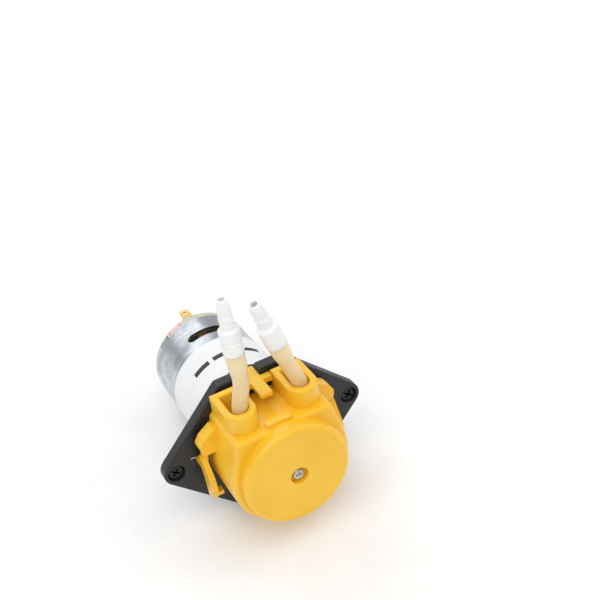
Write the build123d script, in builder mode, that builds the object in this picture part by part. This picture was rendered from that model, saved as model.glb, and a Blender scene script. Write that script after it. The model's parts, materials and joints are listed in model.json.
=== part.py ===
"""Peristaltic pump: a clip-on roller head on a lozenge mounting plate, driven by a 385-size motor.

The drive axis is Y. The origin is where that axis meets the plate's rear face. The head lies towards
-Y, the motor towards +Y, and the two hose ports point up (+Z). All sizes are in millimetres.
"""
from build123d import *
import os
from math import acos, atan2, cos, pi, radians, sin, sqrt, tan

os.makedirs("parts", exist_ok=True)

# ---------------------------------------------------------------- driving dimensions
# mounting plate
plate_thickness = 3.2
plate_half_height = 20.3
plate_slope_reach = 29.8        # |x| + |z| on the four 45 degree slopes
plate_end_radius = 3.8
plate_corner_radius = 1.4
plate_edge_round = 0.35
mount_hole_spacing = 50.0
mount_screw_radius = 1.5
mount_shank_radius = 1.3        # plain shank under the head, thinner than the thread
mount_head_radius = 2.1
mount_counterbore_depth = 1.9
mount_screw_tail = 2.4

# quick-release windows and notch in the plate
window_centre_x = 18.9
window_width = 3.4
window_low = -0.4
window_high = 2.6
notch_width = 4.2
notch_floor = 16.9

# motor
can_radius = 13.85
can_length = 36.9
can_wall = 0.9
can_front_radius = 1.6
can_boss_radius = 5.0
can_boss_height = 1.8
motor_screw_spacing = 16.0
motor_screw_radius = 1.25
shaft_radius = 1.15
bush_radius = 3.0
bush_length = 4.6
bell_flange = 2.8
bell_boss_radius = 5.4
bell_boss_height = 2.0
bell_plug_length = 5.0
crimp_width = 3.2
vent_length = 10.4
vent_width = 3.0
vent_place = 29.4
label_start = 3.0
label_end = 24.2
label_thickness = 0.12
label_wrap = 250.0
magnet_thickness = 3.1
magnet_start = 5.0
magnet_end = 26.0
magnet_span = 124.0
armature_gap = 0.5
armature_poles = 5
stack_start = 7.0
stack_end = 25.0
commutator_radius = 3.3
commutator_start = 27.6
commutator_end = 33.4
terminal_height = 11.2
terminal_width = 2.8
terminal_thickness = 0.5
terminal_length = 7.0

# roller drive
sleeve_radius = 1.6
sleeve_front = -15.2
roller_radius = 5.0
roller_count = 3
roller_length = 8.3
roller_pin_radius = 0.75
carrier_overhang = 0.25         # of the carrier's discs beyond the rollers' outer reach
carrier_thickness = 1.6
pivot_radius = 2.6
pivot_screw_radius = 0.8

# hose
hose_radius = 2.0
hose_bore_radius = 1.0
hose_flat_width = 5.2
hose_plane = -12.85             # y of the roller track and of both hose legs
loop_start_angle = 150.0
flare_radius = 2.45
flare_length = 6.9
flare_start = 2.3               # beyond a hose leg's last bend point

# pump head
seat_gap = 0.1
casing_wall = 2.15
head_front = -22.6
head_disc_radius = 14.3
head_disc_step = -19.0
shoulder_height = 14.0
shoulder_half_width = 13.0
shoulder_corner_radius = 1.5
port_rim = 19.5
port_x = 8.35
port_wall = 1.85
port_back = -3.9
port_floor = 13.4
channel_lap = 0.4               # of a hose channel into the inner wall of its port
channel_dip = 0.9               # of the channels below the ends of the loop
track_rise = 0.6                # of the round track above the ends of the loop
cover_thickness = 1.8
screw_recess_radius = 2.4
screw_recess_depth = 1.5

# clearances
running = 0.05                  # radial, shaft in bore
fitted = 0.05                   # parts of one body that only touch
rolling = 0.05                  # sleeve to roller
free = 0.3                      # moving faces that pass each other

# ---------------------------------------------------------------- derived sizes
plate_front = -plate_thickness
casing_back = plate_front - seat_gap
roller_orbit = sleeve_radius + roller_radius + rolling
squeezed_thickness = 2 * (hose_radius - hose_bore_radius)
track_inner = roller_orbit + roller_radius + 0.1
carrier_radius = track_inner + carrier_overhang
track_outer = track_inner + squeezed_thickness
track_radius = track_outer + fitted
casing_radius = track_radius + casing_wall
cover_back = casing_back - 0.2
cover_front = cover_back - cover_thickness
rear_carrier_back = cover_front - 0.5
rear_carrier_front = rear_carrier_back - carrier_thickness
roller_back = rear_carrier_front - free
roller_front = roller_back - roller_length
front_carrier_back = roller_front - free
front_carrier_front = front_carrier_back - carrier_thickness
hub_front = front_carrier_front - 1.9
inner_front = hub_front - 0.7
pilot_radius = can_boss_radius + 0.1
magnet_outer = can_radius - can_wall - fitted
magnet_inner = magnet_outer - magnet_thickness
armature_radius = magnet_inner - armature_gap
bell_front = can_length
bell_back = can_length + bell_flange
bell_end = bell_back + bell_boss_height
shaft_rear = bell_end + 0.8


def write(part, label):
    """Name a finished piece and write it as one STEP file."""
    part.part.label = label
    export_step(part.part, f"parts/{label}.step")


def facing(y):
    """Sketch plane across the drive axis at y: local x is X, local y is Z, extrudes towards -Y."""
    return Plane.XZ.offset(-y)


def bend_radii(points):
    """Largest tangent arcs that a route's corners hold: 0.45 of the shorter run beside each."""
    radii = []
    for before, corner, after in zip(points, points[1:], points[2:]):
        run_in = Vector(*corner) - Vector(*before)
        run_out = Vector(*after) - Vector(*corner)
        turn = radians(run_in.get_angle(run_out))
        radii.append(0.45 * min(run_in.length, run_out.length) / tan(turn / 2))
    return radii


# ================================================================ plate and its screws
with BuildPart() as mounting_plate:
    with BuildSketch(facing(0)) as outline:
        with BuildLine():
            flat = plate_slope_reach - plate_half_height
            Polyline(
                (plate_slope_reach, 0),
                (flat, plate_half_height),
                (-flat, plate_half_height),
                (-plate_slope_reach, 0),
                (-flat, -plate_half_height),
                (flat, -plate_half_height),
                close=True,
            )
        make_face()
        tips = outline.vertices().group_by(Axis.X)
        fillet(tips[0] + tips[-1], plate_end_radius)
        corners = outline.vertices().group_by(Axis.Y)
        fillet(corners[0] + corners[-1], plate_corner_radius)
    extrude(amount=plate_thickness)
    fillet(mounting_plate.faces().sort_by(Axis.Y)[0].edges(), plate_edge_round)
    fillet(mounting_plate.faces().sort_by(Axis.Y)[-1].edges(), plate_edge_round)
    with BuildSketch(facing(0)):
        Circle(pilot_radius)
        with Locations((-window_centre_x, (window_low + window_high) / 2),
                       (window_centre_x, (window_low + window_high) / 2)):
            Rectangle(window_width, window_high - window_low)
        notch_top = plate_half_height + 1
        with Locations((0, (notch_floor + notch_top) / 2)):
            Rectangle(notch_width, notch_top - notch_floor)
    extrude(amount=plate_thickness, mode=Mode.SUBTRACT)
    with Locations(facing(plate_front)):
        with GridLocations(mount_hole_spacing, 0, 2, 1):
            CounterBoreHole(
                radius=mount_screw_radius + fitted,
                counter_bore_radius=mount_head_radius + 0.25,
                counter_bore_depth=mount_counterbore_depth,
            )
        with GridLocations(motor_screw_spacing, 0, 2, 1):
            CounterSinkHole(
                radius=motor_screw_radius + 0.1,
                counter_sink_radius=2 * motor_screw_radius + 0.1,
            )
write(mounting_plate, "mounting_plate")

with BuildPart() as mounting_screws:
    seat = plate_front + mount_counterbore_depth
    head_height = mount_counterbore_depth - 0.5
    with Locations((-mount_hole_spacing / 2, 0, 0), (mount_hole_spacing / 2, 0, 0)):
        with Locations(Location((0, seat, 0), (90, 0, 0))):
            Cylinder(
                mount_head_radius,
                head_height,
                align=(Align.CENTER, Align.CENTER, Align.MIN),
            )
        with Locations(Location((0, seat, 0), (-90, 0, 0))):
            Cylinder(
                mount_shank_radius,
                -seat,
                align=(Align.CENTER, Align.CENTER, Align.MIN),
            )
        with Locations(Location((0, 0, 0), (-90, 0, 0))):
            Cylinder(
                mount_screw_radius,
                mount_screw_tail,
                align=(Align.CENTER, Align.CENTER, Align.MIN),
            )
    fillet(
        mounting_screws.edges().filter_by(GeomType.CIRCLE).group_by(Axis.Y)[0], 0.5
    )
    with BuildSketch(facing(seat - head_height)):
        with GridLocations(mount_hole_spacing, 0, 2, 1):
            RectangleRounded(2.6, 0.55, 0.2, rotation=52)
            RectangleRounded(2.6, 0.55, 0.2, rotation=142)
    extrude(amount=-0.9, mode=Mode.SUBTRACT)
write(mounting_screws, "mounting_screws")

with BuildPart() as motor_screws:
    for x in (-motor_screw_spacing / 2, motor_screw_spacing / 2):
        with BuildSketch(Plane.XY) as half_screw:
            with BuildLine():
                head = 2 * motor_screw_radius - 0.1
                Polyline(
                    (x, plate_front + 0.1),
                    (x + head, plate_front + 0.1),
                    (x + motor_screw_radius, plate_front + 1.3),
                    (x + motor_screw_radius, 2.4),
                    (x, 2.4),
                    close=True,
                )
            make_face()
        revolve(axis=Axis((x, 0, 0), (0, 1, 0)))
    with BuildSketch(facing(plate_front)):
        with GridLocations(motor_screw_spacing, 0, 2, 1):
            Rectangle(2.4, 0.5)
            Rectangle(0.5, 2.4)
    extrude(amount=-0.8, mode=Mode.SUBTRACT)
write(motor_screws, "motor_screws")

# ================================================================ motor, standing parts
with BuildPart() as motor_can:
    with BuildSketch(Plane.XY) as wall:
        with BuildLine():
            Polyline(
                (bush_radius, -can_boss_height),
                (can_boss_radius, -can_boss_height),
                (can_boss_radius, 0),
                (can_radius, 0),
                (can_radius, can_length),
                (can_radius - can_wall, can_length),
                (can_radius - can_wall, can_wall),
                (bush_radius + 0.9, can_wall),
                (bush_radius + 0.9, 2.8),
                (bush_radius, 2.8),
                close=True,
            )
        make_face()
        fillet(wall.vertices().sort_by_distance((can_radius, 0))[0], can_front_radius)
        fillet(
            wall.vertices().sort_by_distance((can_radius - can_wall, can_wall))[0],
            can_front_radius - can_wall,
        )
        fillet(
            wall.vertices().sort_by_distance((can_boss_radius, -can_boss_height))[0], 0.5
        )
    revolve(axis=Axis.Y)
    # vents over the brush arms, above and below
    with BuildSketch(Plane.XY.offset(can_radius + 1)):
        with Locations((0, vent_place)):
            SlotOverall(vent_length, vent_width)
    extrude(amount=-2 * (can_radius + 1), mode=Mode.SUBTRACT)
    # lanced windows that hold the magnet edges, four round the can
    for turn in (64, 116, 244, 296):
        window_plane = Plane(
            origin=(0, 15.0, 0),
            x_dir=(0, 1, 0),
            z_dir=(cos(radians(turn)), 0, sin(radians(turn))),
        )
        with BuildSketch(window_plane.offset(can_radius - 2)):
            Rectangle(7.5, 1.5)
        extrude(amount=3, mode=Mode.SUBTRACT)
    with Locations(facing(can_wall)):
        with GridLocations(motor_screw_spacing, 0, 2, 1):
            Hole(motor_screw_radius, depth=2 * can_wall)
    # cooling holes in the front wall
    with BuildSketch(facing(can_wall)):
        with PolarLocations(9.4, 4, start_angle=45):
            SlotOverall(4.2, 2.0, rotation=90)
    extrude(amount=2 * can_wall, mode=Mode.SUBTRACT)
    # crimp tabs folded into the end bell
    for turn in (45, 135, 225, 315):
        tab_plane = Plane(
            origin=(0, can_length, 0),
            x_dir=(-sin(radians(turn)), 0, cos(radians(turn))),
            z_dir=(0, 1, 0),
        )
        with BuildSketch(tab_plane):
            with Locations((0, -(can_radius - can_wall / 2))):
                Rectangle(crimp_width, can_wall - 0.4)
        extrude(amount=1.5)
write(motor_can, "motor_can")

with BuildPart() as motor_label:
    with BuildSketch(Plane.XY):
        inner = can_radius + 0.02
        with Locations((inner, label_start)):
            Rectangle(
                label_thickness,
                label_end - label_start,
                align=(Align.MIN, Align.MIN),
            )
    label_band = revolve(axis=Axis.Y, revolution_arc=label_wrap, mode=Mode.PRIVATE)
    # the gap in the band is centred underneath
    add(label_band.rotate(Axis.Y, 270 - label_wrap / 2))
write(motor_label, "motor_label")

with BuildPart() as end_bell:
    with BuildSketch(Plane.XY) as bell_wall:
        with BuildLine():
            plug = can_radius - can_wall - fitted
            rim = can_radius - 0.25
            Polyline(
                (bush_radius, bell_front - 1.4),
                (bush_radius + 1.6, bell_front - 1.4),
                (bush_radius + 1.6, bell_front),
                (plug - 1.5, bell_front),
                (plug - 1.5, bell_front - bell_plug_length),
                (plug, bell_front - bell_plug_length),
                (plug, bell_front),
                (rim, bell_front),
                (rim, bell_back),
                (bell_boss_radius, bell_back),
                (bell_boss_radius, bell_end),
                (bush_radius, bell_end),
                close=True,
            )
        make_face()
        fillet(bell_wall.vertices().sort_by_distance((rim, bell_back))[0], 0.9)
        fillet(
            bell_wall.vertices().sort_by_distance((bell_boss_radius, bell_end))[0], 0.6
        )
    revolve(axis=Axis.Y)
    # raised ring segments and wells moulded in the rear face
    with BuildSketch(facing(bell_back)):
        with Locations((8.9, 0), (-8.9, 0)):
            SlotOverall(6.4, 2.2, rotation=90)
    extrude(amount=1.2, mode=Mode.SUBTRACT)
    with BuildSketch(facing(bell_back)):
        with Locations((0, terminal_height), (0, -terminal_height)):
            Rectangle(terminal_width + 2.2, 2.6)
    extrude(amount=-1.1)
    # terminal slots
    with BuildSketch(facing(bell_front - 0.5)):
        with Locations((0, terminal_height), (0, -terminal_height)):
            Rectangle(terminal_width + 2 * fitted, terminal_thickness + 2 * fitted)
    extrude(amount=-(bell_flange + 2), mode=Mode.SUBTRACT)
    # notches for the can's crimp tabs
    for turn in (45, 135, 225, 315):
        notch_plane = Plane(
            origin=(0, bell_front - 0.01, 0),
            x_dir=(-sin(radians(turn)), 0, cos(radians(turn))),
            z_dir=(0, 1, 0),
        )
        with BuildSketch(notch_plane):
            with Locations((0, -(can_radius - 0.2))):
                Rectangle(crimp_width + 0.5, 1.6)
        extrude(amount=1.8, mode=Mode.SUBTRACT)
    # the plug is cut away over the vents, so that the brush arms show
    with BuildSketch(Plane.XY.offset(can_radius)):
        with Locations((0, vent_place + 1.2)):
            Rectangle(vent_length + 1, vent_width + 1.6)
    extrude(amount=-2 * can_radius, mode=Mode.SUBTRACT)
write(end_bell, "end_bell")


def bush(label, start):
    """Sintered bush on the drive axis from start towards +Y."""
    with BuildPart() as piece:
        with BuildSketch(facing(start)):
            Circle(bush_radius - 0.01)
            Circle(shaft_radius + 0.03, mode=Mode.SUBTRACT)
        extrude(amount=-bush_length)
        chamfer(piece.edges().filter_by(GeomType.CIRCLE), 0.2)
    write(piece, label)


bush("front_bush", -can_boss_height - 0.1)
bush("rear_bush", bell_end - bush_length + 0.1)

with BuildPart() as field_magnets:
    with BuildSketch(facing(magnet_start)):
        for middle in (0, 180):
            with BuildLine():
                first = middle - magnet_span / 2
                outer_arc = CenterArc((0, 0), magnet_outer, first, magnet_span)
                inner_arc = CenterArc((0, 0), magnet_inner, first, magnet_span)
                Line(outer_arc @ 0, inner_arc @ 0)
                Line(outer_arc @ 1, inner_arc @ 1)
            make_face()
    extrude(amount=-(magnet_end - magnet_start))
write(field_magnets, "field_magnets")

with BuildPart() as terminals:
    with BuildSketch(facing(bell_front - 0.5)):
        with Locations((0, terminal_height), (0, -terminal_height)):
            Rectangle(terminal_width, terminal_thickness)
    extrude(amount=-(bell_flange + 0.5 + terminal_length))
    blade_end = terminals.faces().sort_by(Axis.Y)[-2:]
    fillet(blade_end.edges().filter_by(Axis.Z), 1.0)
    with BuildSketch(Plane.XY.offset(terminal_height + 1)):
        with Locations((0, bell_back + terminal_length - 1.7)):
            Circle(0.65)
    extrude(amount=-2 * (terminal_height + 1), mode=Mode.SUBTRACT)
write(terminals, "terminals")

brush_face = commutator_radius + 0.06
with BuildPart() as brush_arms:
    for side in (1, -1):
        arm_high = terminal_height - terminal_thickness / 2 - fitted
        arm_low = brush_face + 2.3
        with BuildSketch(Plane.XY.offset(side * arm_high)):
            with Locations((0, vent_place - 0.9)):
                Rectangle(5.2, 1.8, align=(Align.CENTER, Align.MIN))
            with Locations((0, vent_place)):
                Rectangle(
                    2.6, bell_front - 0.2 - vent_place, align=(Align.CENTER, Align.MIN)
                )
        extrude(amount=-side * 0.3)
        with BuildSketch(facing(vent_place + 0.15)):
            with Locations((0, side * (arm_low + arm_high) / 2)):
                Rectangle(2.6, arm_high - arm_low)
        extrude(amount=0.3)
write(brush_arms, "brush_arms")

with BuildPart() as carbon_brushes:
    with BuildSketch(facing(vent_place + 1.2)):
        with Locations((0, brush_face + 1.1), (0, -brush_face - 1.1)):
            Rectangle(2.2, 2.2)
    extrude(amount=2.4)
write(carbon_brushes, "carbon_brushes")

# ================================================================ motor, turning parts
with BuildPart() as motor_shaft:
    with BuildSketch(facing(sleeve_front + 0.6)):
        Circle(shaft_radius)
    extrude(amount=-(shaft_rear - sleeve_front - 0.6))
    chamfer(motor_shaft.edges().filter_by(GeomType.CIRCLE), 0.25)
write(motor_shaft, "motor_shaft")

coil_ring = 6.0
pocket_radius = 1.95
with BuildPart() as armature_core:
    with BuildSketch(facing(stack_start)):
        Circle(armature_radius)
        Circle(shaft_radius + fitted, mode=Mode.SUBTRACT)
        with PolarLocations(coil_ring, armature_poles, start_angle=36):
            Circle(pocket_radius, mode=Mode.SUBTRACT)
            Rectangle(
                armature_radius,
                0.9,
                align=(Align.MIN, Align.CENTER),
                mode=Mode.SUBTRACT,
            )
    extrude(amount=-(stack_end - stack_start))
write(armature_core, "armature_core")

with BuildPart() as armature_windings:
    with BuildSketch(facing(stack_start - 2.0)):
        with PolarLocations(coil_ring, armature_poles, start_angle=36):
            Circle(pocket_radius - 0.1)
    extrude(amount=-(stack_end - stack_start + 3.8))
    coil_ends = (
        (stack_start - 2.3, stack_start - fitted),
        (stack_end + fitted, stack_end + 2.1),
    )
    for low, high in coil_ends:
        with BuildSketch(Plane.XY) as coil_end:
            with Locations(((3.4 + 8.2) / 2, (low + high) / 2)):
                RectangleRounded(8.2 - 3.4, high - low, 0.8)
        revolve(axis=Axis.Y)
write(armature_windings, "armature_windings")

with BuildPart() as commutator_hub:
    with BuildSketch(facing(commutator_start - 0.3)):
        Circle(commutator_radius - 0.7)
        Circle(shaft_radius + fitted, mode=Mode.SUBTRACT)
    extrude(amount=-(commutator_end - commutator_start + 0.6))
write(commutator_hub, "commutator_hub")

with BuildPart() as commutator_segments:
    with BuildSketch(facing(commutator_start)):
        Circle(commutator_radius)
        Circle(commutator_radius - 0.7 + 0.01, mode=Mode.SUBTRACT)
        with PolarLocations(0, armature_poles):
            Rectangle(
                commutator_radius + 1,
                0.4,
                align=(Align.MIN, Align.CENTER),
                mode=Mode.SUBTRACT,
            )
    extrude(amount=-(commutator_end - commutator_start))
write(commutator_segments, "commutator_segments")

with BuildPart() as thrust_washers:
    for start, depth in ((3.3, 1.1), (commutator_end + 0.4, 0.9)):
        with BuildSketch(facing(start)):
            Circle(2.2)
            Circle(shaft_radius + fitted, mode=Mode.SUBTRACT)
        extrude(amount=-depth)
write(thrust_washers, "thrust_washers")

with BuildPart() as drive_sleeve:
    with BuildSketch(facing(sleeve_front)):
        Circle(sleeve_radius)
    extrude(amount=sleeve_front + 3.4)
    with BuildSketch(facing(sleeve_front + 0.6)):
        Circle(shaft_radius)
    extrude(amount=sleeve_front - 1, mode=Mode.SUBTRACT)
    chamfer(
        drive_sleeve.edges().filter_by(GeomType.CIRCLE).sort_by(Axis.Y)[0], 0.5
    )
write(drive_sleeve, "drive_sleeve")

# ================================================================ hose
loop_middle = (track_inner + track_outer) / 2
leg_foot = port_floor - 0.5
bore_foot = leg_foot + 0.2
inlet_route = [
    (-port_x, hose_plane, leg_foot),
    (-port_x, hose_plane, 19.0),
    (-6.35, hose_plane, 26.0),
]
inlet_tip = (-6.8, hose_plane, 50.2)
outlet_route = [
    (port_x, hose_plane, leg_foot),
    (port_x, hose_plane, 19.0),
    (6.0, -13.15, 25.8),
]
outlet_tip = (-0.95, -17.3, 48.7)


def stub_axis(route, tip):
    """The end of the hose's last bend and the unit direction of its flared end and connector."""
    start = Vector(*route[-1])
    return start, (Vector(*tip) - start).normalized()


def leg(route, tip, radius):
    """One straight-and-arc length of hose from the port's foot to the base of its flared end."""
    start, along = stub_axis(route, tip)
    beyond = start + along * 5.0
    points = route + [tuple(beyond)]
    radii = bend_radii(points)
    with BuildPart() as piece:
        with BuildLine() as path:
            FilletPolyline(*points, radius=radii)
        with BuildSketch(Plane(origin=points[0], z_dir=(0, 0, 1))):
            Circle(radius)
        sweep()
    length = sum(edge.length for edge in path.edges())
    share = piece.part.volume / (pi * radius**2 * length)
    bends = [round(bend, 1) for bend in radii]
    print("hose leg", round(length, 2), "bends", bends, "volume share", round(share, 4))
    return piece.part


def stub_plane(route, tip, along_by):
    """Plane whose local x is the radius and whose local y runs along a hose end's axis."""
    start, along = stub_axis(route, tip)
    side = Vector(0, 1, 0).cross(along).normalized()
    return Plane(
        origin=start + along * along_by, x_dir=side, z_dir=side.cross(along)
    )


def turned(route, tip, along_by, outline_points):
    """Solid turned round a hose end's axis from half an outline of (radius, height) points."""
    start, along = stub_axis(route, tip)
    with BuildPart() as piece:
        with BuildSketch(stub_plane(route, tip, along_by)):
            with BuildLine():
                Polyline(*outline_points, close=True)
            make_face()
        revolve(axis=Axis(tuple(start), tuple(along)))
    return piece.part


flare_end = flare_start + flare_length
barb_radius = 1.5
flare_outline = [
    (0, 0),
    (hose_radius, 0),
    (flare_radius - 0.1, 2.4),
    (flare_radius, flare_length),
    (0, flare_length),
]
barb_socket = [
    (0, 0.6),
    (hose_bore_radius, 0.6),
    (barb_radius, 1.8),
    (barb_radius, flare_length + 1),
    (0, flare_length + 1),
]


def ring_plane(angle):
    """Plane through the drive axis at an angle from +X: local x is outwards, local y is Y."""
    return Plane(
        origin=(0, 0, 0),
        x_dir=(cos(radians(angle)), 0, sin(radians(angle))),
        z_dir=(-sin(radians(angle)), 0, cos(radians(angle))),
    )


def squeezed_section():
    """Outline of the hose where it is pressed flat against the track."""
    with BuildSketch() as section:
        with Locations((loop_middle, hose_plane)):
            RectangleRounded(
                squeezed_thickness, hose_flat_width, 0.42 * squeezed_thickness
            )
    return section.sketch


def taper(route, angle):
    """Length of hose between the round section under a port and the flat one on the track."""
    with BuildPart() as piece:
        with BuildSketch(Plane.XY.offset(leg_foot)):
            with Locations((route[0][0], hose_plane)):
                Circle(hose_radius)
        with BuildSketch(ring_plane(angle)):
            add(squeezed_section())
        loft()
    return piece.part


hose_ends = {
    "inlet": (inlet_route, inlet_tip, loop_start_angle),
    "outlet": (outlet_route, outlet_tip, 180 - loop_start_angle),
}
hose_lengths = []
hose_bores = []
for route, tip, angle in hose_ends.values():
    bored = [(route[0][0], hose_plane, bore_foot)] + route[1:]
    hose_lengths += [
        taper(route, angle),
        leg(route, tip, hose_radius),
        turned(route, tip, flare_start, flare_outline),
    ]
    hose_bores += [
        leg(bored, tip, hose_bore_radius),
        turned(route, tip, flare_start, barb_socket),
    ]
with BuildPart() as pump_tube:
    # flattened loop round the roller track, from one port's side down and round to the other's
    with BuildSketch(ring_plane(180 - loop_start_angle)):
        add(squeezed_section())
    revolve(axis=Axis.Y, revolution_arc=540 - 2 * loop_start_angle)
    add(hose_lengths)
    add(hose_bores, mode=Mode.SUBTRACT)
write(pump_tube, "pump_tube")

connector_bore = 0.8
collar_radius = 2.6
collar_length = 7.0
connector_length = 15.2
barb_end = 2.2 - flare_length
connector_outline = [
    (connector_bore, barb_end),
    (barb_radius - 0.35, barb_end),
    (barb_radius - 0.02, barb_end + 1.4),
    (barb_radius - 0.02, -fitted),
    (collar_radius - 0.1, -fitted),
    (collar_radius, 0.5),
    (collar_radius, 3.5),
    (collar_radius - 0.2, 3.8),
    (collar_radius, 4.1),
    (collar_radius, collar_length - 0.4),
    (collar_radius - 0.4, collar_length),
    (1.75, collar_length + 0.3),
    (1.7, collar_length + 2.0),
    (1.85, collar_length + 2.6),
    (1.8, collar_length + 3.3),
    (1.6, collar_length + 3.9),
    (1.7, collar_length + 5.6),
    (1.5, connector_length - 1.0),
    (1.2, connector_length - 0.3),
    (connector_bore, connector_length),
]
for name, (route, tip, angle) in hose_ends.items():
    connector = turned(route, tip, flare_end + 2 * fitted, connector_outline)
    with BuildPart() as hose_connector:
        add(connector)
    write(hose_connector, f"{name}_connector")

# ================================================================ pump head
cavity_radius = carrier_radius + free
seat_radius = cavity_radius + 0.7
port_half = hose_radius + 0.25
port_outer = port_half + port_wall
boss_end = front_carrier_back - 0.5
recess_floor = head_front + screw_recess_depth
track_half = hose_flat_width / 2 + 0.15
loop_rise = radians(180 - loop_start_angle)
channel_outer = track_radius * cos(loop_rise) + free
channel_inner = port_x - port_half + channel_lap
channel_low = track_radius * sin(loop_rise) - channel_dip
track_top = track_radius * sin(loop_rise) + track_rise

# side release levers and top release latch, and the pins they turn on
lever_outer_x = 19.0
lever_thickness = 1.5
lever_pin_x = 17.75
lever_pin_y = -6.3
lever_pin_radius = 0.62
lever_pin_top = 8.4
lug_low = 5.6
lug_high = 9.6
lug_reach = 18.8
latch_axis_y = -4.45
latch_axis_z = 17.5
latch_pin_radius = 0.6
latch_pin_reach = 5.4
latch_half_width = 1.7
latch_top = 18.6


def port_outline(half_width, back):
    """Port outline in plan: square at the back, a half circle round the hose at the front."""
    with BuildSketch() as outline:
        with Locations((0, hose_plane)):
            Circle(half_width)
            Rectangle(
                2 * half_width, back - hose_plane, align=(Align.CENTER, Align.MIN)
            )
    return outline.sketch


def body_outline():
    """Casing outline along the drive axis: a drum with a square shoulder for the ports."""
    # the side walls run from the shoulder's corners to where they touch the drum
    corner_reach = sqrt(shoulder_half_width**2 + shoulder_height**2)
    touch = atan2(shoulder_height, shoulder_half_width) - acos(casing_radius / corner_reach)
    touch_x = casing_radius * cos(touch)
    touch_z = casing_radius * sin(touch)
    with BuildSketch() as outline:
        Circle(casing_radius)
        with BuildLine():
            Polyline(
                (-touch_x, touch_z),
                (-shoulder_half_width, shoulder_height),
                (shoulder_half_width, shoulder_height),
                (touch_x, touch_z),
                close=True,
            )
        make_face()
        with Locations((0, shoulder_height)):
            Rectangle(
                3 * casing_radius,
                casing_radius,
                align=(Align.CENTER, Align.MIN),
                mode=Mode.SUBTRACT,
            )
        fillet(outline.vertices().group_by(Axis.Y)[-1], shoulder_corner_radius)
    return outline.sketch


def port_block(side):
    """Outer block of one hose port, with a rounded rim."""
    with BuildPart() as block:
        with BuildSketch(Plane.XY.offset(shoulder_height - 4)):
            with Locations((side * port_x, 0)):
                add(port_outline(port_outer, port_back))
        extrude(amount=port_rim - shoulder_height + 4)
        fillet(block.faces().sort_by(Axis.Z)[-1].edges(), 0.7)
    return block.part


def lug_block(side):
    """Lug on the casing's side wall that holds a release lever's pin."""
    with BuildPart() as block:
        with BuildSketch(facing(lever_pin_y + 1.8)):
            with BuildLine():
                Polyline(
                    (side * 14.0, lug_low),
                    (side * (lug_reach - 0.5), lug_low),
                    (side * lug_reach, lug_low + 1.8),
                    (side * lug_reach, lug_low + 2.8),
                    (side * (lug_reach - 1.2), lug_high + 0.6),
                    (side * 14.4, lug_high + 2.8),
                    (side * 12.8, lug_high + 2.4),
                    (side * 12.8, lug_low),
                    close=True,
                )
            make_face()
        extrude(amount=3.6)
        outside = block.edges().filter_by(Axis.Y).sort_by(SortBy.DISTANCE)[-3:]
        fillet(outside, 0.5)
    return block.part


head_blocks = [port_block(side) for side in (-1, 1)] + [lug_block(side) for side in (-1, 1)]
with BuildPart() as pump_casing:
    with BuildSketch(facing(casing_back)):
        add(body_outline())
    extrude(amount=casing_back - head_disc_step)
    fillet(pump_casing.faces().sort_by(Axis.Y)[0].edges(), 1.1)
    # round front disc
    with BuildSketch(facing(head_disc_step + 1)):
        Circle(head_disc_radius)
    extrude(amount=head_disc_step + 1 - head_front)
    fillet(pump_casing.edges().filter_by(GeomType.CIRCLE).sort_by(Axis.Y)[0], 1.6)
    add(head_blocks)
    # tab on the shoulder's front edge
    with BuildSketch(Plane.XY.offset(shoulder_height - 1)):
        with Locations((-0.8, head_disc_step + 1.7)):
            Rectangle(6.6, 1.9)
    extrude(amount=2.1)
    # roller cavity, cover seat and front pocket, open to the rear
    with BuildSketch(facing(casing_back)):
        Circle(seat_radius)
    extrude(amount=casing_back - cover_front, mode=Mode.SUBTRACT)
    with BuildSketch(facing(casing_back)):
        Circle(cavity_radius)
    extrude(amount=casing_back - inner_front, mode=Mode.SUBTRACT)
    # hose track, and the two channels that lead it up into the ports
    with BuildSketch(facing(hose_plane + track_half)):
        Circle(track_radius)
        with Locations((0, track_top)):
            Rectangle(
                3 * track_radius,
                track_radius,
                align=(Align.CENTER, Align.MIN),
                mode=Mode.SUBTRACT,
            )
        for side in (-1, 1):
            with BuildLine():
                Polyline(
                    (side * (port_x - port_half), port_floor),
                    (side * (port_x + port_half), port_floor),
                    (side * (port_x + port_half), leg_foot - 0.3),
                    (side * channel_outer, channel_low),
                    (side * channel_inner, channel_low),
                    close=True,
                )
            make_face()
    extrude(amount=2 * track_half, mode=Mode.SUBTRACT)
    # port pockets
    with BuildSketch(Plane.XY.offset(port_floor)):
        for side in (-1, 1):
            with Locations((side * port_x, 0)):
                add(port_outline(port_half, port_back - 2.1))
    extrude(amount=port_rim - port_floor, mode=Mode.SUBTRACT)
    rims = pump_casing.faces().filter_by(Axis.Z).group_by(Axis.Z)[-1]
    mouths = [wire for rim in rims for wire in rim.inner_wires()]
    fillet([edge for mouth in mouths for edge in mouth.edges()], 0.6)
    # pivot boss for the roller carrier, and the recess and pilot hole of its screw
    with BuildSketch(facing(boss_end)):
        Circle(pivot_radius)
    extrude(amount=boss_end - inner_front + 0.5)
    with BuildSketch(facing(head_front)):
        Circle(screw_recess_radius)
    extrude(amount=-screw_recess_depth, mode=Mode.SUBTRACT)
    with BuildSketch(facing(recess_floor)):
        Circle(pivot_screw_radius)
    extrude(amount=-4.2, mode=Mode.SUBTRACT)
    # pin holes of the side levers and the top latch
    with BuildSketch(Plane.XY.offset(lug_low - 1)):
        with Locations((-lever_pin_x, lever_pin_y), (lever_pin_x, lever_pin_y)):
            Circle(lever_pin_radius + running)
    extrude(amount=lever_pin_top + 0.2 - lug_low + 1, mode=Mode.SUBTRACT)
    with BuildSketch(Plane.YZ.offset(-latch_pin_reach - 0.2)):
        with Locations((latch_axis_y, latch_axis_z)):
            Circle(latch_pin_radius + running)
    extrude(amount=2 * (latch_pin_reach + 0.2), mode=Mode.SUBTRACT)
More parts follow.
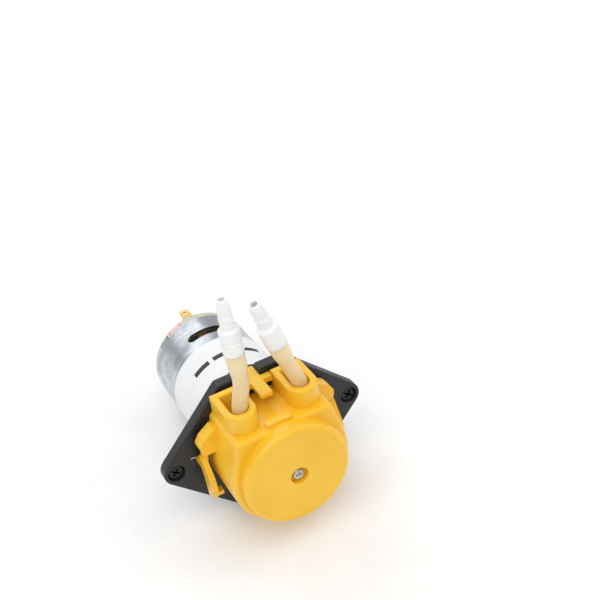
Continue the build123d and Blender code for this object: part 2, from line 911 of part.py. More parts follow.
write(pump_casing, "pump_casing")

with BuildPart() as rear_cover:
    with BuildSketch(facing(cover_back)):
        Circle(seat_radius - fitted)
        Circle(4.2, mode=Mode.SUBTRACT)
        with PolarLocations(8.6, 4, start_angle=45):
            SlotOverall(4.0, 1.6, rotation=90, mode=Mode.SUBTRACT)
    extrude(amount=cover_thickness)
    rear_circles = rear_cover.faces().sort_by(Axis.Y)[-1].edges().filter_by(GeomType.CIRCLE)
    chamfer(rear_circles.sort_by(SortBy.LENGTH)[-1], 0.3)
write(rear_cover, "rear_cover")

with BuildPart() as centre_screw:
    with BuildSketch(facing(recess_floor)):
        Circle(1.55)
    extrude(amount=1.0)
    fillet(centre_screw.faces().sort_by(Axis.Y)[0].edges(), 0.45)
    with BuildSketch(facing(recess_floor)):
        Circle(pivot_screw_radius - 0.02)
    extrude(amount=-4.0)
    with BuildSketch(facing(recess_floor - 1.0)):
        Rectangle(1.7, 0.36)
        Rectangle(0.36, 1.7)
    extrude(amount=-0.6, mode=Mode.SUBTRACT)
write(centre_screw, "centre_screw")

# ---------------------------------------------------------------- roller carrier
roller_angles = [90 + turn * 360 / roller_count for turn in range(roller_count)]
post_radius = 1.3
post_inset = 0.95               # from the rollers' outer reach to the posts
post_orbit = track_inner - post_inset - post_radius
peg_radius = 0.8


def carrier_disc():
    """Disc between the rollers' ends, with a hole for each roller pin."""
    with BuildSketch() as outline:
        Circle(carrier_radius)
        with PolarLocations(roller_orbit, roller_count, start_angle=90):
            Circle(roller_pin_radius + 0.01, mode=Mode.SUBTRACT)
    return outline.sketch


with BuildPart() as carrier_front:
    with BuildSketch(facing(front_carrier_back)):
        add(carrier_disc())
    extrude(amount=carrier_thickness)
    with BuildSketch(facing(front_carrier_front)):
        Circle(pivot_radius + 1.8)
    extrude(amount=front_carrier_front - hub_front)
    with BuildSketch(facing(front_carrier_back)):
        with PolarLocations(post_orbit, roller_count, start_angle=30):
            Circle(post_radius)
    extrude(amount=-(rear_carrier_front - front_carrier_back))
    with BuildSketch(facing(rear_carrier_front)):
        with PolarLocations(post_orbit, roller_count, start_angle=30):
            Circle(peg_radius)
    extrude(amount=-carrier_thickness)
    with BuildSketch(facing(rear_carrier_front)):
        Circle(pivot_radius + running)
    extrude(amount=rear_carrier_front - hub_front, mode=Mode.SUBTRACT)
write(carrier_front, "carrier_front")

with BuildPart() as carrier_rear:
    with BuildSketch(facing(rear_carrier_back)):
        add(carrier_disc())
        Circle(sleeve_radius + 0.8, mode=Mode.SUBTRACT)
        with PolarLocations(post_orbit, roller_count, start_angle=30):
            Circle(peg_radius + 0.02, mode=Mode.SUBTRACT)
    extrude(amount=carrier_thickness)
write(carrier_rear, "carrier_rear")

with BuildPart() as roller_pins:
    with BuildSketch(facing(rear_carrier_back - 0.1)):
        with PolarLocations(roller_orbit, roller_count, start_angle=90):
            Circle(roller_pin_radius)
    extrude(amount=rear_carrier_back - front_carrier_front - 0.2)
write(roller_pins, "roller_pins")

for number, angle in enumerate(roller_angles, start=1):
    middle = (roller_orbit * cos(radians(angle)), roller_orbit * sin(radians(angle)))
    with BuildPart() as roller:
        with BuildSketch(facing(roller_back)):
            with Locations(middle):
                Circle(roller_radius)
                Circle(roller_pin_radius + running, mode=Mode.SUBTRACT)
        extrude(amount=roller_length)
        chamfer(roller.edges().filter_by(GeomType.CIRCLE), 0.25)
        # shallow wells in both ends, so that the roller's turning shows
        for face_y, depth in ((roller_back, 0.5), (roller_front, -0.5)):
            with BuildSketch(facing(face_y)):
                with Locations(middle):
                    with PolarLocations(3.0, 3, start_angle=angle):
                        Circle(0.8)
            extrude(amount=depth, mode=Mode.SUBTRACT)
    write(roller, f"roller_{number}")


# ---------------------------------------------------------------- release levers and latch
def release_lever(side):
    """Side lever: a T-shaped arm with a hook through the plate's window and a thumb pad."""
    with BuildPart() as lever:
        # arm, hook bar and pad, seen from the side
        with BuildSketch(Plane.YZ.offset(side * lever_outer_x)) as profile:
            with BuildLine():
                Polyline(
                    (lever_pin_y - 0.9, lug_low - 1.2),
                    (lever_pin_y + 0.9, lug_low - 1.2),
                    (-5.2, window_high - 0.6),
                    (1.5, window_high - 0.6),
                    (1.5, window_low + 0.6),
                    (-5.2, window_low + 0.6),
                    (-5.9, -3.2),
                    (-6.2, -8.0),
                    (-8.6, -8.0),
                    (-10.5, -5.2),
                    (-10.2, -0.8),
                    (-7.8, 3.0),
                    close=True,
                )
            make_face()
            fillet(profile.vertices().group_by(Axis.X)[0], 0.8)
        extrude(amount=-side * lever_thickness)
        # neck under the lug, and the pin above it
        with BuildSketch(Plane.XY.offset(lug_low - 2.4)):
            with Locations((side * lever_pin_x, lever_pin_y)):
                Rectangle(1.3, 1.5)
        extrude(amount=2.4 - 0.15)
        with BuildSketch(Plane.XY.offset(lug_low - 0.5)):
            with Locations((side * lever_pin_x, lever_pin_y)):
                Circle(lever_pin_radius)
        extrude(amount=lever_pin_top - lug_low + 0.5)
        # foot that points in at the casing
        with BuildSketch(Plane.XY.offset(-8.0)):
            with Locations((side * (lever_outer_x - 1.7), -7.4)):
                Rectangle(3.4, 2.0)
        extrude(amount=1.1)
        # hook lip behind the plate
        with BuildSketch(Plane.XY.offset(window_low + 0.6)):
            with Locations((side * (lever_outer_x - 0.8), 0.85)):
                Rectangle(1.6, 1.3)
        extrude(amount=window_high - window_low - 1.2)
        # the hook bar is thinner than the arm
        with BuildSketch(Plane.XY.offset(window_low)):
            with Locations((side * (lever_outer_x - lever_thickness), -1.8)):
                Rectangle(0.8, 4.0)
        extrude(amount=window_high - window_low, mode=Mode.SUBTRACT)
    return lever


write(release_lever(-1), "left_release_lever")
write(release_lever(1), "right_release_lever")

with BuildPart() as top_release_latch:
    # tongue: thumb pad in front, hook bar over the plate's notch behind
    with BuildSketch(Plane.XY.offset(latch_top - 1.5)) as tongue:
        with Locations((0, (-11.0 + 1.3) / 2)):
            RectangleRounded(2 * latch_half_width, 12.3, 0.5)
        with Locations((0, latch_axis_y)):
            Rectangle(2 * (port_x - port_outer) - 0.3, 1.9)
    extrude(amount=1.5)
    fillet(top_release_latch.faces().sort_by(Axis.Y)[0].edges().filter_by(Axis.X), 0.4)
    # hook lip behind the plate
    with BuildSketch(Plane.XY.offset(notch_floor + 0.1)):
        with Locations((0, 0.75)):
            Rectangle(2 * latch_half_width - 0.2, 0.9)
    extrude(amount=1.0)
    # pins in the port walls
    with BuildSketch(Plane.YZ.offset(-latch_pin_reach)):
        with Locations((latch_axis_y, latch_axis_z)):
            Circle(latch_pin_radius)
    extrude(amount=2 * latch_pin_reach)
write(top_release_latch, "top_release_latch")
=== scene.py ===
import json
from math import pi

import bmesh
import bpy
from bpy.props import FloatProperty, FloatVectorProperty, PointerProperty
from mathutils import Matrix, Vector


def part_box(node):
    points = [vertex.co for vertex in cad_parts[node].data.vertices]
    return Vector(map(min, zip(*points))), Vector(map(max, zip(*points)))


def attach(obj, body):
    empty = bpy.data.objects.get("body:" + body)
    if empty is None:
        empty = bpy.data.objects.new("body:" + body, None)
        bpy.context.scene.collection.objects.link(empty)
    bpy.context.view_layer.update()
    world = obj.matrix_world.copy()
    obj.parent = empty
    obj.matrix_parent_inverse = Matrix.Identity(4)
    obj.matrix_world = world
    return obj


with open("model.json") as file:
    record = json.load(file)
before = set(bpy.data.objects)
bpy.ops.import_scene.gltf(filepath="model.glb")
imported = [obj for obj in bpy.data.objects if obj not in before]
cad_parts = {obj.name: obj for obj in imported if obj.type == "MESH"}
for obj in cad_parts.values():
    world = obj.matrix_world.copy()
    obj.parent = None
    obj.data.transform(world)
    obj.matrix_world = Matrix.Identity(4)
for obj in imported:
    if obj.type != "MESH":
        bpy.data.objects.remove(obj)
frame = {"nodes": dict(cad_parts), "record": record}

bl_info = {
    "name": "Peristaltic pump finishes",
    "version": (1, 0, 0),
    "blender": (4, 5, 0),
    "location": "3D View > Sidebar > Pump",
    "description": "Finishes and small details for a clip-on peristaltic pump and its studio",
    "category": "Object",
}

MM = 0.001
nodes = frame["nodes"]

# end bell: height of its boss, rounding of its edge, and how far forward of its rear face the ink reaches
BELL_BOSS = 2.0 * MM
BELL_ROUNDING = 0.9 * MM
INK_REACH = 2.0 * MM

# polarity mark: its middle across and up, its outer radius, the inner radius of its line, its soft edge
MARK_X = -5.4 * MM
MARK_Z = 11.6 * MM
MARK_RADIUS = 2.15 * MM
MARK_LINE = 1.7 * MM
SOFT_EDGE = 0.1 * MM

# label: radius of its face, and its printed bars as along, around, half along and half around, in mm
LABEL_RADIUS = 13.9 * MM
LABEL_BARS = (
    (6.9, 1.5, 1.7, 4.2),
    (16.6, -7.2, 0.9, 2.6),
    (16.6, -1.4, 0.9, 1.9),
    (16.6, 6.4, 0.9, 4.0),
)
INK = (0.035, 0.035, 0.04)

# hose end: distance back from its nozzle's tip, and the middle and radius of its rolled lip
HOSE_END = 12.1 * MM
LIP_INSET = 0.25 * MM
LIP_RADIUS = 2.32 * MM
HOSE_FADE = 12 * MM

# plate: depth over which the colour of its faces turns into the painted highlight of its sides, a lighter
# colour standing in for the light its edges catch
FACE_DEPTH = 0.35 * MM
FACE_SKIN = 0.02 * MM

# inner works: finish, its light and dark tones, how it shines, and the nodes that have it
WORKS = (
    (
        "sintered_bronze",
        (0.42, 0.27, 0.13),
        (0.30, 0.19, 0.09),
        {"rough": (0.4, 0.6), "metallic": 0.9, "bump": 0.2},
        ("front_bush", "rear_bush"),
    ),
    (
        "ferrite",
        (0.05, 0.05, 0.052),
        (0.09, 0.09, 0.09),
        {"rough": (0.6, 0.75), "bump": 0.2},
        ("field_magnets",),
    ),
    (
        "carbon",
        (0.02, 0.02, 0.02),
        (0.05, 0.05, 0.05),
        {"rough": (0.5, 0.7)},
        ("carbon_brushes",),
    ),
    (
        "shaft_steel",
        (0.60, 0.61, 0.63),
        (0.48, 0.49, 0.5),
        {"rough": (0.12, 0.26), "metallic": 1.0},
        ("motor_shaft", "roller_pins"),
    ),
    (
        "laminated_steel",
        (0.34, 0.35, 0.37),
        (0.24, 0.25, 0.27),
        {"rough": (0.35, 0.5), "metallic": 0.9},
        ("armature_core",),
    ),
    (
        "enamelled_copper",
        (0.50, 0.14, 0.04),
        (0.36, 0.09, 0.03),
        {"rough": (0.22, 0.36), "metallic": 0.6, "bump": 0.3},
        ("armature_windings",),
    ),
    (
        "hub_resin",
        (0.10, 0.04, 0.02),
        (0.14, 0.06, 0.03),
        {"rough": (0.4, 0.55)},
        ("commutator_hub", "thrust_washers"),
    ),
    (
        "commutator_copper",
        (0.60, 0.28, 0.14),
        (0.45, 0.2, 0.1),
        {"rough": (0.2, 0.35), "metallic": 1.0},
        ("commutator_segments",),
    ),
    (
        "carrier_acetal",
        (0.80, 0.80, 0.77),
        (0.72, 0.72, 0.69),
        {"rough": (0.32, 0.45), "scatter": 0.15},
        ("carrier_front", "carrier_rear"),
    ),
    (
        "roller_nylon",
        (0.70, 0.69, 0.61),
        (0.62, 0.61, 0.53),
        {"rough": (0.36, 0.5), "scatter": 0.15},
        ("roller_1", "roller_2", "roller_3"),
    ),
)

# lights: name, place, side and power
LAMPS = (
    ("key_light", (-0.35, -0.45, 0.75), 0.9, 4.9),
    ("fill_light", (0.6, -0.25, 0.55), 0.8, 2.2),
    ("rear_light", (-0.1, 0.6, 0.7), 0.8, 2.4),
)
SKY = 0.50

# camera: its place, lens and the directions of its right, up and back
CAMERA_PLACE = Vector((-68.79, -209.61, 184.06)) * MM
CAMERA_LENS = 65.86
CAMERA_RIGHT = Vector((0.87502, -0.46251, -0.14293))
CAMERA_UP = Vector((0.36707, 0.44141, 0.81879))
CAMERA_BACK = Vector((-0.31561, -0.76892, 0.55601))


# ---------------------------------------------------------------- settings
def colour(name, description, default):
    """A colour setting."""
    return FloatVectorProperty(
        name=name,
        description=description,
        subtype="COLOR",
        size=3,
        min=0.0,
        max=1.0,
        default=default,
    )


def length(name, description, default):
    """A length setting, in metres."""
    return FloatProperty(
        name=name,
        description=description,
        unit="LENGTH",
        min=0.0,
        default=default,
        precision=5,
    )


class PumpColours(bpy.types.PropertyGroup):
    casing: colour("Casing", "Yellow of the head's mouldings", (0.92, 0.55, 0.028))
    casing_deep: colour("Casing, deep", "Yellow where the moulding is thick or shaded", (0.88, 0.49, 0.014))
    plate: colour("Plate", "Face of the mounting plate", (0.010, 0.010, 0.012))
    # the colour of the plate's sides is a painted highlight: lighter than the faces, for the light the
    # plate's edges catch
    plate_edge_sheen: colour("Plate edge", "Sides of the mounting plate", (0.024, 0.023, 0.025))
    hose: colour("Hose", "Silicone hose near the ports", (0.78, 0.55, 0.25))
    hose_pale: colour("Hose, pale", "Silicone hose near its ends", (0.86, 0.70, 0.42))
    connector: colour("Connector", "Milky hose connectors", (0.90, 0.90, 0.89))
    zinc: colour("Zinc", "Plated motor can", (0.60, 0.63, 0.66))
    # the darker zinc is a painted reflection: the tone of the dark bands the can mirrors, mixed over the
    # can in random blotches
    zinc_dark_reflection: colour("Zinc, dark", "Darker bands of the plating", (0.40, 0.44, 0.48))
    label: colour("Label", "Paper round the motor", (0.85, 0.86, 0.88))
    bell: colour("End bell", "Nylon end of the motor", (0.58, 0.60, 0.50))
    polarity: colour("Polarity mark", "Printed ring by one terminal", (0.80, 0.22, 0.26))
    polarity_fill: colour("Polarity mark, fill", "Paler ink inside that ring", (0.86, 0.50, 0.52))


class PumpDetails(bpy.types.PropertyGroup):
    disc_line: length("Disc line", "Thickness of the ring on the head's front disc", 0.16 * MM)
    disc_line_radius: length("Disc line radius", "Radius of that ring", 12.5 * MM)
    hose_lip: length("Hose lip", "Thickness of the rolled hose end", 0.36 * MM)
    floor_size: length("Floor", "Side of the studio floor", 3.0)


# ---------------------------------------------------------------- shader groups
def new_group(name, inputs, outputs):
    """Empty shader group with float inputs, given as name: default, and typed outputs."""
    group = bpy.data.node_groups.new(name, "ShaderNodeTree")
    for label, default in inputs.items():
        socket = group.interface.new_socket(name=label, in_out="INPUT", socket_type="NodeSocketFloat")
        socket.default_value = default
    for label, kind in outputs.items():
        group.interface.new_socket(name=label, in_out="OUTPUT", socket_type=kind)
    start = group.nodes.new("NodeGroupInput")
    end = group.nodes.new("NodeGroupOutput")
    return group, start, end


def calc(tree, operation, *values, clamp=False):
    """Math node; each value is a number or a socket. Returns its output."""
    node = tree.nodes.new("ShaderNodeMath")
    node.operation = operation
    node.use_clamp = clamp
    for socket, value in zip(node.inputs, values):
        if isinstance(value, bpy.types.NodeSocket):
            tree.links.new(value, socket)
        else:
            socket.default_value = value
    return node.outputs[0]


def place(tree, scale=(1, 1, 1)):
    """Object coordinates, stretched by a Mapping node."""
    coordinates = tree.nodes.new("ShaderNodeTexCoord")
    mapping = tree.nodes.new("ShaderNodeMapping")
    mapping.inputs["Scale"].default_value = scale
    tree.links.new(coordinates.outputs["Object"], mapping.inputs["Vector"])
    return mapping.outputs["Vector"]


def noise(tree, vector, scale, detail=3.0, roughness=0.55):
    """Noise texture's factor; scale is a number or a socket."""
    node = tree.nodes.new("ShaderNodeTexNoise")
    node.inputs["Detail"].default_value = detail
    node.inputs["Roughness"].default_value = roughness
    tree.links.new(vector, node.inputs["Vector"])
    if isinstance(scale, bpy.types.NodeSocket):
        tree.links.new(scale, node.inputs["Scale"])
    else:
        node.inputs["Scale"].default_value = scale
    return node.outputs["Fac"]


def build_surface_group():
    """Moulded or rolled surface: slow blotches, fine grain and stray scratches."""
    group, start, end = new_group(
        "surface_texture",
        {"Blotch Scale": 90.0, "Grain Scale": 2600.0, "Grain": 0.5, "Scratches": 0.2},
        {"Blotch": "NodeSocketFloat", "Height": "NodeSocketFloat", "Scratch": "NodeSocketFloat"},
    )
    vector = place(group)
    blotch = noise(group, vector, start.outputs["Blotch Scale"], 4.0, 0.6)
    grain = noise(group, vector, start.outputs["Grain Scale"], 2.0, 0.5)
    streaks = noise(group, place(group, (1.0, 0.06, 1.0)), 1500.0, 2.0, 0.4)
    lines = calc(group, "MULTIPLY", calc(group, "SUBTRACT", streaks, 0.62, clamp=True), 6.0, clamp=True)
    patches = calc(group, "GREATER_THAN", noise(group, vector, 240.0, 2.0, 0.5), 0.52)
    scratch = calc(group, "MULTIPLY", calc(group, "MULTIPLY", lines, patches), start.outputs["Scratches"])
    fine = calc(group, "MULTIPLY", grain, start.outputs["Grain"])
    height = calc(group, "SUBTRACT", fine, scratch)
    group.links.new(blotch, end.inputs["Blotch"])
    group.links.new(height, end.inputs["Height"])
    group.links.new(scratch, end.inputs["Scratch"])
    return group


def build_bar_group():
    """Soft-edged bar printed round the drive axis: 1 inside, 0 outside."""
    group, start, end = new_group(
        "printed_bar",
        {"Along": 0.0, "Around": 0.0, "Half Along": 0.001, "Half Around": 0.001},
        {"Mask": "NodeSocketFloat"},
    )
    split = group.nodes.new("ShaderNodeSeparateXYZ")
    group.links.new(place(group), split.inputs[0])
    turn = calc(group, "ARCTAN2", split.outputs["X"], split.outputs["Z"])
    around = calc(group, "MULTIPLY", turn, LABEL_RADIUS)
    masks = []
    for value, middle, half in (
        (split.outputs["Y"], "Along", "Half Along"),
        (around, "Around", "Half Around"),
    ):
        off = calc(group, "ABSOLUTE", calc(group, "SUBTRACT", value, start.outputs[middle]))
        inside = calc(group, "SUBTRACT", start.outputs[half], off)
        masks.append(calc(group, "MULTIPLY", inside, 14000.0, clamp=True))
    group.links.new(calc(group, "MULTIPLY", *masks), end.inputs["Mask"])
    return group


SURFACE = build_surface_group()
BAR = build_bar_group()


# ---------------------------------------------------------------- materials
def grouped(tree, group, **values):
    """Places a shader group in a material with its own values."""
    node = tree.nodes.new("ShaderNodeGroup")
    node.node_tree = group
    for label, value in values.items():
        node.inputs[label.replace("_", " ")].default_value = value
    return node.outputs


def blend_colours(tree, factor, first, second):
    """Mixes two colours; each is a triple or a socket."""
    mix = tree.nodes.new("ShaderNodeMix")
    mix.data_type = "RGBA"
    tree.links.new(factor, mix.inputs["Factor"])
    for label, value in (("A", first), ("B", second)):
        socket = next(s for s in mix.inputs if s.name == label and s.type == "RGBA")
        if isinstance(value, bpy.types.NodeSocket):
            tree.links.new(value, socket)
        else:
            socket.default_value = (*value, 1.0)
    return next(s for s in mix.outputs if s.type == "RGBA")


def map_range(tree, value, low, high, to_low, to_high):
    """Linear remap, clamped."""
    node = tree.nodes.new("ShaderNodeMapRange")
    tree.links.new(value, node.inputs["Value"])
    node.inputs["From Min"].default_value = low
    node.inputs["From Max"].default_value = high
    node.inputs["To Min"].default_value = to_low
    node.inputs["To Max"].default_value = to_high
    return node.outputs["Result"]


def material(
    name,
    light,
    dark,
    rough=(0.35, 0.5),
    metallic=0.0,
    grain=0.5,
    grain_scale=2600.0,
    blotch_scale=90.0,
    scratches=0.2,
    bump=0.1,
    coat=0.0,
    scatter=0.0,
    tint=None,
):
    """Two-tone finish with grain and scratches. tint(tree, colour) may recolour it."""
    made = bpy.data.materials.new(name)
    made.use_nodes = True
    tree = made.node_tree
    shader = tree.nodes["Principled BSDF"]
    surface = grouped(
        tree, SURFACE, Blotch_Scale=blotch_scale, Grain_Scale=grain_scale, Grain=grain, Scratches=scratches
    )
    spread = map_range(tree, surface["Blotch"], 0.35, 0.65, 0.0, 1.0)
    base = blend_colours(tree, spread, light, dark)
    if tint:
        base = tint(tree, base)
    tree.links.new(base, shader.inputs["Base Color"])
    roughness = map_range(tree, surface["Blotch"], 0.3, 0.7, *rough)
    tree.links.new(calc(tree, "ADD", roughness, surface["Scratch"], clamp=True), shader.inputs["Roughness"])
    relief = tree.nodes.new("ShaderNodeBump")
    relief.inputs["Strength"].default_value = bump
    relief.inputs["Distance"].default_value = 0.05 * MM
    tree.links.new(surface["Height"], relief.inputs["Height"])
    tree.links.new(relief.outputs["Normal"], shader.inputs["Normal"])
    shader.inputs["Metallic"].default_value = metallic
    shader.inputs["Coat Weight"].default_value = coat
    shader.inputs["Coat Roughness"].default_value = 0.2
    if scatter:
        shader.inputs["Subsurface Weight"].default_value = scatter
        shader.inputs["Subsurface Radius"].default_value = (1.0, 0.7, 0.4)
        shader.inputs["Subsurface Scale"].default_value = 1.2 * MM
    return made


def dress(finish, *names):
    """Gives CAD nodes a finish."""
    for name in names:
        slots = nodes[name].data.materials
        slots.clear()
        slots.append(finish)


# ---------------------------------------------------------------- modelling
def piece(name, mesh, finish, body, smooth=True):
    """Makes an object of a bmesh and rides it on a CAD body."""
    bmesh.ops.recalc_face_normals(mesh, faces=mesh.faces)
    data = bpy.data.meshes.new(name)
    mesh.to_mesh(data)
    mesh.free()
    data.polygons.foreach_set("use_smooth", [smooth] * len(data.polygons))
    made = bpy.data.objects.new(name, data)
    bpy.context.scene.collection.objects.link(made)
    data.materials.append(finish)
    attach(made, body)
    return made


def ring(mesh, centre, axis, radius, thickness, sides=12, steps=96):
    """Adds a torus of that centre line radius round an axis."""
    axis = Vector(axis).normalized()
    side = axis.orthogonal().normalized()
    centre = Vector(centre)
    # the small circle stands in the plane of the axis and the side direction
    turn = Matrix((side, axis, side.cross(axis))).transposed().to_4x4()
    small = bmesh.ops.create_circle(
        mesh,
        segments=sides,
        radius=thickness / 2,
        matrix=Matrix.Translation(centre + side * radius) @ turn,
    )
    edges = list({edge for vert in small["verts"] for edge in vert.link_edges})
    bmesh.ops.spin(
        mesh,
        geom=edges,
        cent=centre,
        axis=axis,
        dvec=(0, 0, 0),
        angle=2 * pi,
        steps=steps,
        use_merge=True,
        use_duplicate=False,
    )


def low(name):
    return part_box(name)[0]


def high(name):
    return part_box(name)[1]


# ---------------------------------------------------------------- operators
class PUMP_OT_mouldings(bpy.types.Operator):
    """Finish the yellow casing, its cover, its levers and its front ring."""

    bl_idname = "pump.mouldings"
    bl_label = "Head mouldings"

    def execute(self, context):
        colours = context.scene.pump_colours
        details = context.scene.pump_details
        plastic = material(
            "yellow_plastic",
            colours.casing,
            colours.casing_deep,
            rough=(0.30, 0.42),
            grain=0.35,
            blotch_scale=60.0,
            scratches=0.08,
            bump=0.06,
            coat=0.15,
            scatter=0.12,
        )
        dress(
            plastic,
            "pump_casing",
            "rear_cover",
            "left_release_lever",
            "right_release_lever",
            "top_release_latch",
        )
        front = low("pump_casing").y
        mesh = bmesh.new()
        ring(mesh, (0, front + 0.02 * MM, 0), (0, 1, 0), details.disc_line_radius, details.disc_line)
        piece("disc_line", mesh, plastic, "pump_head")
        return {"FINISHED"}


class PUMP_OT_hose(bpy.types.Operator):
    """Finish the hose and its two connectors, and roll the hose's end lips."""

    bl_idname = "pump.hose"
    bl_label = "Hose and connectors"

    def execute(self, context):
        colours = context.scene.pump_colours
        details = context.scene.pump_details
        port_height = high("pump_casing").z

        def paler_high(tree, base):
            split = tree.nodes.new("ShaderNodeSeparateXYZ")
            tree.links.new(place(tree), split.inputs[0])
            rise = map_range(tree, split.outputs["Z"], port_height, port_height + HOSE_FADE, 0.0, 1.0)
            return blend_colours(tree, rise, base, colours.hose_pale)

        silicone = material(
            "silicone_hose",
            colours.hose,
            tuple(0.88 * c for c in colours.hose),
            rough=(0.28, 0.42),
            grain=0.3,
            blotch_scale=140.0,
            scratches=0.03,
            bump=0.08,
            scatter=0.45,
            tint=paler_high,
        )
        milky = material(
            "milky_plastic",
            colours.connector,
            tuple(0.93 * c for c in colours.connector),
            rough=(0.30, 0.44),
            grain=0.25,
            blotch_scale=180.0,
            scratches=0.04,
            bump=0.05,
            scatter=0.35,
        )
        dress(silicone, "pump_tube")
        dress(milky, "inlet_connector", "outlet_connector")
        # a lip round each hose end, where the nozzle's mount axis leaves the hose
        mounts = {mount["name"]: mount for mount in frame["record"]["mounts"]}
        for side in ("inlet", "outlet"):
            mount = mounts[f"{side}_barb"]
            axis = Vector(mount["axis"]).normalized()
            end = Vector(mount["pos_m"]) - axis * HOSE_END
            mesh = bmesh.new()
            ring(mesh, end - axis * LIP_INSET, axis, LIP_RADIUS, details.hose_lip, steps=48)
            piece(f"{side}_hose_lip", mesh, silicone, "pump_head")
        return {"FINISHED"}


class PUMP_OT_plate(bpy.types.Operator):
    """Finish the mounting plate and its screws."""

    bl_idname = "pump.plate"
    bl_label = "Mounting plate"

    def execute(self, context):
        colours = context.scene.pump_colours

        front, rear = low("mounting_plate").y, high("mounting_plate").y

        # painted highlight: within the plate's thickness (its sides and the walls of its holes and notch)
        # the colour turns lighter, standing in for the light its edges catch; the faces keep the plate's
        # colour
        def painted_edge_sheen(tree, base):
            split = tree.nodes.new("ShaderNodeSeparateXYZ")
            tree.links.new(place(tree), split.inputs[0])
            from_middle = calc(tree, "SUBTRACT", split.outputs["Y"], (front + rear) / 2)
            away = calc(tree, "ABSOLUTE", from_middle)
            half = (rear - front) / 2
            # side is 1 where the painted highlight goes, on the sides, and 0 on the faces
            side = map_range(tree, away, half - FACE_DEPTH, half - FACE_SKIN, 1.0, 0.0)
            return blend_colours(tree, side, base, colours.plate_edge_sheen)

        nylon = material(
            "black_nylon",
            colours.plate,
            tuple(1.6 * c for c in colours.plate),
            rough=(0.42, 0.58),
            grain=0.9,
            grain_scale=3400.0,
            blotch_scale=70.0,
            scratches=0.25,
            bump=0.22,
            tint=painted_edge_sheen,
        )
        dress(nylon, "mounting_plate")
        black_steel = material(
            "black_screw_steel",
            (0.012, 0.012, 0.014),
            (0.03, 0.03, 0.033),
            rough=(0.3, 0.5),
            metallic=0.6,
        )
        dress(black_steel, "mounting_screws")
        nickel = material(
            "nickel_steel",
            (0.62, 0.60, 0.56),
            (0.42, 0.40, 0.37),
            rough=(0.14, 0.3),
            metallic=1.0,
        )
        dress(nickel, "motor_screws", "centre_screw")
        return {"FINISHED"}


class PUMP_OT_motor(bpy.types.Operator):
    """Finish the motor's can, label, end bell and terminals, with the printed polarity mark."""

    bl_idname = "pump.motor"
    bl_label = "Motor, outside"

    def execute(self, context):
        colours = context.scene.pump_colours
        # the can's zinc is mixed in random blotches with a darker painted reflection, the tone of the dark
        # bands the can mirrors
        zinc = material(
            "zinc_steel",
            colours.zinc,
            colours.zinc_dark_reflection,
            rough=(0.24, 0.40),
            metallic=1.0,
            grain=0.4,
            grain_scale=1400.0,
            blotch_scale=260.0,
            scratches=0.22,
            bump=0.07,
        )

        def printed(tree, base):
            ink = 0.0
            for along, around, half_along, half_around in LABEL_BARS:
                bar = grouped(
                    tree,
                    BAR,
                    Along=along * MM,
                    Around=around * MM,
                    Half_Along=half_along * MM,
                    Half_Around=half_around * MM,
                )
                ink = calc(tree, "MAXIMUM", bar["Mask"], ink)
            return blend_colours(tree, ink, base, INK)

        paper = material(
            "label_paper",
            colours.label,
            tuple(0.95 * c for c in colours.label),
            rough=(0.5, 0.62),
            grain=0.5,
            grain_scale=4200.0,
            scratches=0.0,
            bump=0.08,
            tint=printed,
        )
        ink_front = high("end_bell").y - BELL_BOSS - INK_REACH

        def polarity_mark(tree, base):
            split = tree.nodes.new("ShaderNodeSeparateXYZ")
            tree.links.new(place(tree), split.inputs[0])
            across = calc(tree, "SUBTRACT", split.outputs["X"], MARK_X)
            upright = calc(tree, "SUBTRACT", split.outputs["Z"], MARK_Z)
            squares = [calc(tree, "MULTIPLY", value, value) for value in (across, upright)]
            away = calc(tree, "SQRT", calc(tree, "ADD", *squares))
            rearward = calc(tree, "GREATER_THAN", split.outputs["Y"], ink_front)
            disc = map_range(tree, away, MARK_RADIUS, MARK_RADIUS + SOFT_EDGE, 1.0, 0.0)
            beyond = map_range(tree, away, MARK_LINE, MARK_LINE + SOFT_EDGE, 0.0, 1.0)
            fill = calc(tree, "MULTIPLY", disc, rearward)
            line = calc(tree, "MULTIPLY", beyond, fill)
            filled = blend_colours(tree, fill, base, colours.polarity_fill)
            return blend_colours(tree, line, filled, colours.polarity)

        bell = material(
            "bell_nylon",
            colours.bell,
            tuple(0.9 * c for c in colours.bell),
            rough=(0.4, 0.55),
            scatter=0.2,
            tint=polarity_mark,
        )
        brass = material("brass", (0.80, 0.56, 0.22), (0.62, 0.40, 0.14), rough=(0.2, 0.36), metallic=1.0)
        dress(zinc, "motor_can")
        dress(paper, "motor_label")
        dress(bell, "end_bell")
        dress(brass, "terminals", "drive_sleeve")
        spring_brass = material(
            "spring_brass",
            (0.80, 0.58, 0.22),
            (0.66, 0.46, 0.16),
            rough=(0.38, 0.5),
            metallic=0.45,
        )
        dress(spring_brass, "brush_arms")
        return {"FINISHED"}


class PUMP_OT_works(bpy.types.Operator):
    """Finish the parts inside the motor and the roller drive."""

    bl_idname = "pump.works"
    bl_label = "Inner works"

    def execute(self, context):
        for name, light, dark, finish, names in WORKS:
            dress(material(name, light, dark, **finish), *names)
        return {"FINISHED"}


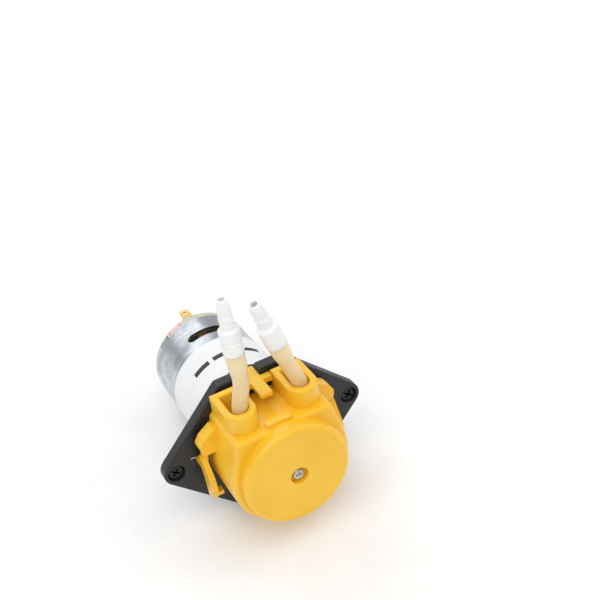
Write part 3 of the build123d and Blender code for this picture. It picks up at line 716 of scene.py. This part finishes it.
class PUMP_OT_studio(bpy.types.Operator):
    """Lay the pale floor that the plate and the motor's end rest on, and set the lights and camera."""

    bl_idname = "pump.studio"
    bl_label = "Studio"

    def execute(self, context):
        details = context.scene.pump_details
        scene = context.scene
        # the floor touches the plate's lowest edge and the motor's end
        foot = Vector((0, 0, low("mounting_plate").z))
        heel = Vector((0, high("end_bell").y - BELL_BOSS - BELL_ROUNDING, low("end_bell").z))
        slope = (heel - foot).normalized()
        up = Vector((1, 0, 0)).cross(slope).normalized()
        turn = Matrix((Vector((1, 0, 0)), slope, up)).transposed().to_4x4()
        mesh = bmesh.new()
        bmesh.ops.create_grid(
            mesh,
            x_segments=2,
            y_segments=2,
            size=details.floor_size / 2,
            matrix=Matrix.Translation(foot) @ turn,
        )
        data = bpy.data.meshes.new("studio_floor")
        mesh.to_mesh(data)
        mesh.free()
        floor = bpy.data.objects.new("studio_floor", data)
        scene.collection.objects.link(floor)
        paper = material(
            "floor_paper",
            (0.93, 0.93, 0.93),
            (0.90, 0.90, 0.90),
            rough=(0.7, 0.8),
            scratches=0.0,
            bump=0.02,
        )
        data.materials.append(paper)
        for name, place_at, size, power in LAMPS:
            lamp = bpy.data.lights.new(name, "AREA")
            lamp.shape = "SQUARE"
            lamp.size = size
            lamp.energy = power
            light = bpy.data.objects.new(name, lamp)
            light.location = place_at
            light.rotation_euler = (-Vector(place_at)).to_track_quat("-Z", "Y").to_euler()
            scene.collection.objects.link(light)
        world = bpy.data.worlds.new("studio")
        world.use_nodes = True
        world.node_tree.nodes["Background"].inputs["Color"].default_value = (1, 1, 1, 1)
        world.node_tree.nodes["Background"].inputs["Strength"].default_value = SKY
        scene.world = world
        scene.view_settings.view_transform = "Standard"
        camera_data = bpy.data.cameras.new("camera")
        camera_data.lens = CAMERA_LENS
        camera_data.sensor_width = 36.0
        camera = bpy.data.objects.new("camera", camera_data)
        facing = Matrix((CAMERA_RIGHT, CAMERA_UP, CAMERA_BACK)).transposed().to_4x4()
        camera.matrix_world = Matrix.Translation(CAMERA_PLACE) @ facing
        scene.collection.objects.link(camera)
        scene.camera = camera
        return {"FINISHED"}


class PUMP_PT_panel(bpy.types.Panel):
    """Lists the pump's settings and its steps."""

    bl_idname = "PUMP_PT_panel"
    bl_label = "Peristaltic pump"
    bl_space_type = "VIEW_3D"
    bl_region_type = "UI"
    bl_category = "Pump"

    def draw(self, context):
        for group in (context.scene.pump_colours, context.scene.pump_details):
            for name in group.__annotations__:
                self.layout.prop(group, name)
        for step in STEPS:
            self.layout.operator(step.bl_idname)


STEPS = (PUMP_OT_mouldings, PUMP_OT_hose, PUMP_OT_plate, PUMP_OT_motor, PUMP_OT_works, PUMP_OT_studio)
CLASSES = (PumpColours, PumpDetails, *STEPS, PUMP_PT_panel)


def register():
    for item in CLASSES:
        bpy.utils.register_class(item)
    bpy.types.Scene.pump_colours = PointerProperty(type=PumpColours)
    bpy.types.Scene.pump_details = PointerProperty(type=PumpDetails)


def unregister():
    del bpy.types.Scene.pump_details
    del bpy.types.Scene.pump_colours
    for item in reversed(CLASSES):
        bpy.utils.unregister_class(item)


def main():
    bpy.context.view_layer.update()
    register()
    bpy.ops.pump.mouldings()
    bpy.ops.pump.hose()
    bpy.ops.pump.plate()
    bpy.ops.pump.motor()
    bpy.ops.pump.works()
    bpy.ops.pump.studio()


if __name__ == "__main__":
    main()
